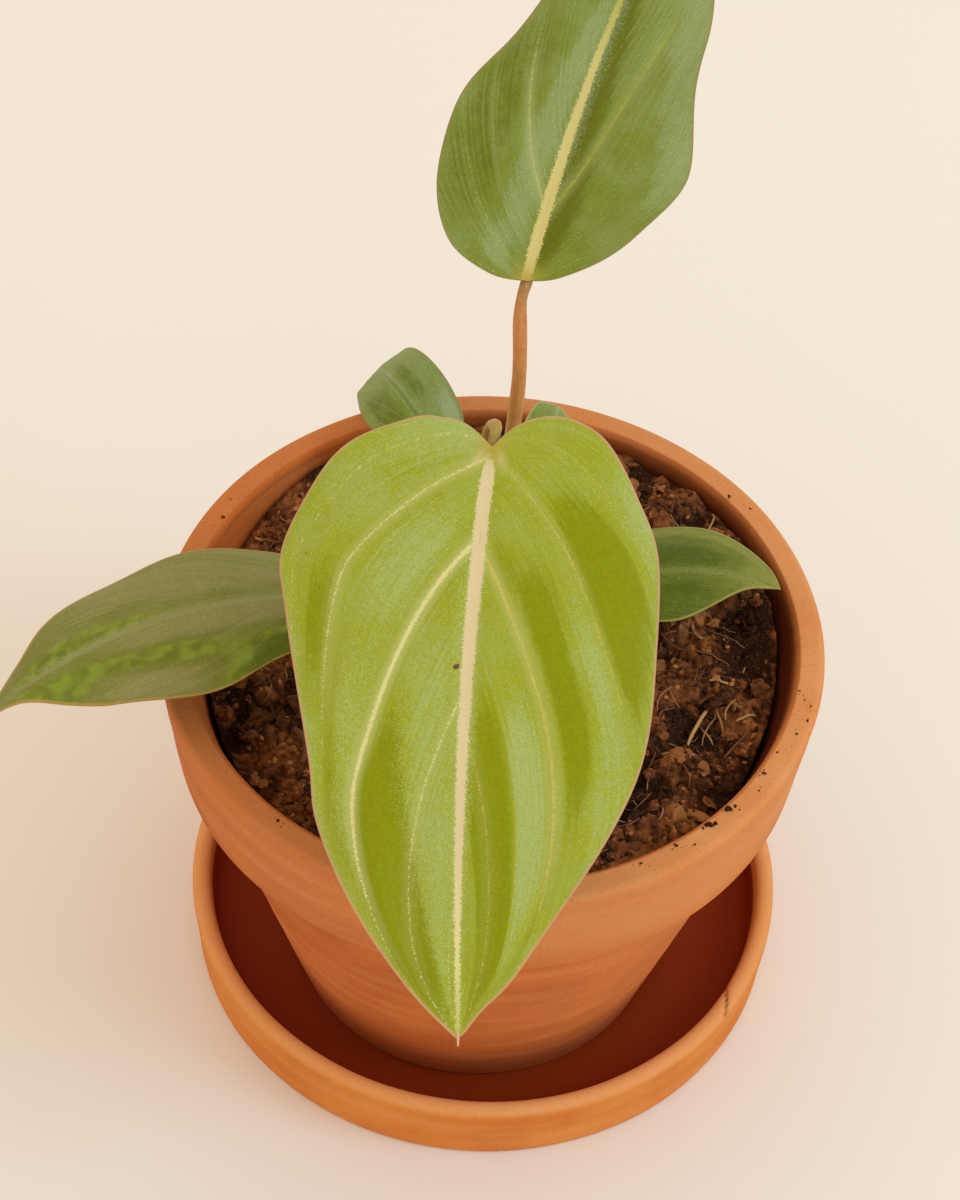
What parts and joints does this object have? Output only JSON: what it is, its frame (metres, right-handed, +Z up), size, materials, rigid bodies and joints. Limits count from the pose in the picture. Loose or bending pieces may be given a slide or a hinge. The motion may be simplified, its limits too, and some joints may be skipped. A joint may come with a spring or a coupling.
{
  "type": "potted philodendron gloriosum",
  "caption": "Young velvet-leaf philodendron with heart-shaped leaves on thin stalks, in a clay pot with a raised collar, standing in a clay saucer.",
  "frame": {"origin": "centre of the saucer's flat underside, on the surface that it stands on", "axes": "+Z up. The side that the picture shows faces -Y, so the front leaf hangs towards -Y, and +X is to the right in the picture"},
  "size_m": [0.1604, 0.216, 0.1993],
  "materials": {
    "saucer_clay": "matt unglazed fired clay, faint throwing rings, darker and damp inside",
    "pot_clay": "matt unglazed fired clay, faint throwing rings, pale bloom, a few soil specks",
    "soil": "loose dark peat with bark chips and straw fibres",
    "rhizome": "satin plant skin with old leaf scars",
    "stalk": "satin plant skin, orange brown",
    "young_leaf": "velvety light green with cream veins and a thin pink margin",
    "leaf": "velvety mid green with yellow-cream veins and a silvery sheen"
  },
  "bodies": {
    "root": {"saucer": "saucer_clay", "pot": "pot_clay", "soil": "soil", "rhizome": "rhizome", "stalk_front": "stalk", "stalk_upper": "stalk", "stalk_left": "stalk", "stalk_right": "stalk", "stalk_back_left": "stalk", "stalk_back_right": "stalk", "leaf_front": "young_leaf", "leaf_upper": "leaf", "leaf_left": "leaf", "leaf_right": "leaf", "leaf_back_left": "leaf", "leaf_back_right": "young_leaf"}
  },
  "joints": []
}
